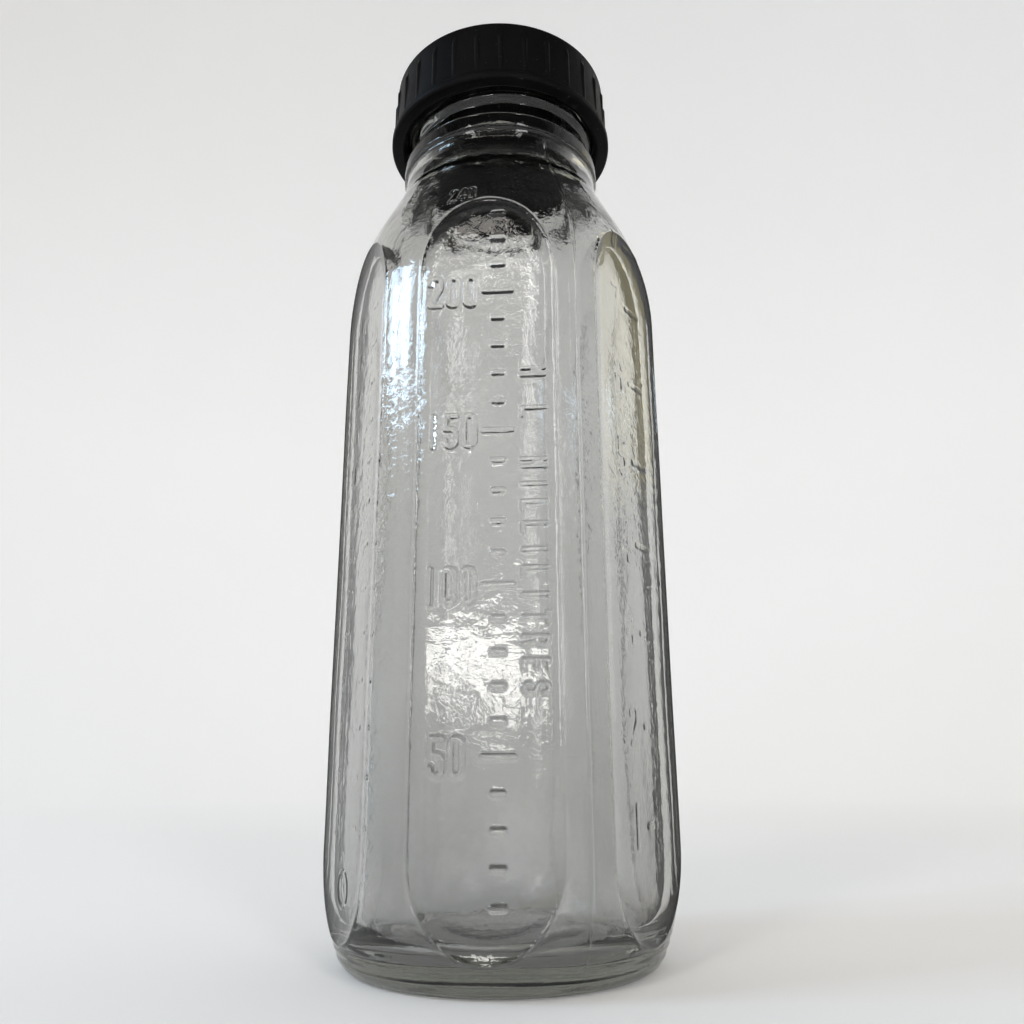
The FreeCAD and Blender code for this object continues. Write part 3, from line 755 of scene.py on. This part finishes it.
def make_cove():
    """A pale floor that curves up into a wall all round, with painted shade high up on the camera's side.
    """
    outline = [(0, 0, 0), (COVE_RADIUS, 0, COVE_CURVE), (COVE_RADIUS, COVE_HEIGHT, 0)]
    line = fill(trace(outline), lambda radius, height: COVE_GAP)
    turns = np.linspace(0, math.tau, COVE_SIDES + 1)[:-1]
    points = [(radius * math.cos(turn), radius * math.sin(turn), height)
              for radius, height in line[1:] for turn in turns]
    faces = [tuple(range(COVE_SIDES))]
    for row in range(len(line) - 2):
        low, high = row * COVE_SIDES, (row + 1) * COVE_SIDES
        for spot in range(COVE_SIDES):
            after = (spot + 1) % COVE_SIDES
            faces.append((low + spot, high + spot, high + after, low + after))
    data = bpy.data.meshes.new("cove")
    data.from_pydata([Vector(point) * MM for point in points], [], faces)
    data.polygons.foreach_set("use_smooth", [True] * len(data.polygons))
    cove = bpy.data.objects.new("cove", data)
    bpy.context.scene.collection.objects.link(cove)
    finish = Finish("cove_paint")
    mottle = finish.noise(3, 3)
    depth = finish.add("ShaderNodeSeparateXYZ", Vector=finish.spot).outputs["Y"]
    rise = finish.add("ShaderNodeSeparateXYZ", Vector=finish.spot).outputs["Z"]
    pale = finish.colours(mottle, COVE_WARM, COVE_PALE)
    # Painted shade: the wall is coloured dark high up on the camera's side, fading in towards the top.
    shade = finish.maths("MULTIPLY", finish.ramp(depth, 0.2, -0.6), finish.ramp(rise, 0.3, 0.65))
    glow = finish.ramp(depth, -0.6, 1.0, 0.0, COVE_GLOW)
    finish.set(Base_Color=finish.colours(shade, pale, COVE_PAINTED_SHADE), Roughness=0.9,
               Emission_Color=(1, 1, 1, 1), Emission_Strength=glow)
    data.materials.append(finish.material)


def softbox(name, place, size, strength, colour, mirrored=True):
    """A soft light of the given size that faces the bottle; strength is how bright its face looks."""
    light = bpy.data.lights.new(name, "AREA")
    light.shape = "RECTANGLE"
    light.size, light.size_y = (side * MM for side in size)
    light.energy = strength * math.pi * light.size * light.size_y
    light.color = colour
    lamp = bpy.data.objects.new(name, light)
    lamp.location = Vector(place) * MM
    lamp.rotation_euler = (Vector(place) - Vector(LAMP_TARGET)).to_track_quat("Z", "Y").to_euler()
    lamp.visible_camera = False
    lamp.visible_glossy = mirrored
    lamp.visible_transmission = mirrored
    bpy.context.scene.collection.objects.link(lamp)


def make_sky(strength):
    """An even white world behind the cove."""
    world = bpy.data.worlds.new("studio")
    world.use_nodes = True
    background = world.node_tree.nodes["Background"]
    background.inputs["Color"].default_value = (1, 1, 1, 1)
    background.inputs["Strength"].default_value = strength
    bpy.context.scene.world = world


WINDOW_BLUE, WARM, NEUTRAL = (0.58, 0.78, 1.0), (1.0, 0.98, 0.94), (1, 1, 1)
SKY_STRENGTH = 0.05
# Name, place, size, strength and colour. All but the fill are seen in reflections.
LAMPS = [
    ("window_left_pane", (-790, -330, 590), (130, 230), 16, WINDOW_BLUE),
    ("window_right_pane", (-860, -180, 590), (130, 230), 13, WINDOW_BLUE),
    ("lamp_front", (-78, -700, 130), (95, 36), 14, WARM),
    ("lamp_low", (-59, -700, 92), (46, 40), 10, WARM),
    ("lamp_edge", (-120, -700, 96), (12, 38), 11, WARM),
    ("lamp_arch", (-24, -700, 538), (28, 42), 10, WARM),
    ("lamp_arch_small", (-75, -700, 555), (24, 13), 8, WARM),
    ("lamp_right", (700, 490, 560), (220, 420), 0.5, (1.0, 0.82, 0.15)),
    ("strip_left", (-350, -640, 330), (90, 560), 7, NEUTRAL),
    ("strip_right", (350, -640, 330), (90, 560), 7, NEUTRAL),
    ("lamp_neck", (-60, -700, 620), (1000, 80), 4.5, (1.0, 0.95, 0.88)),
]
make_cove()
make_sky(SKY_STRENGTH)
for lamp in LAMPS:
    softbox(*lamp)
softbox("fill_above", (0, 0, 1900), (1800, 1800), 0.85, (0.965, 0.98, 1.0), mirrored=False)
bpy.context.scene.view_settings.view_transform = "Standard"
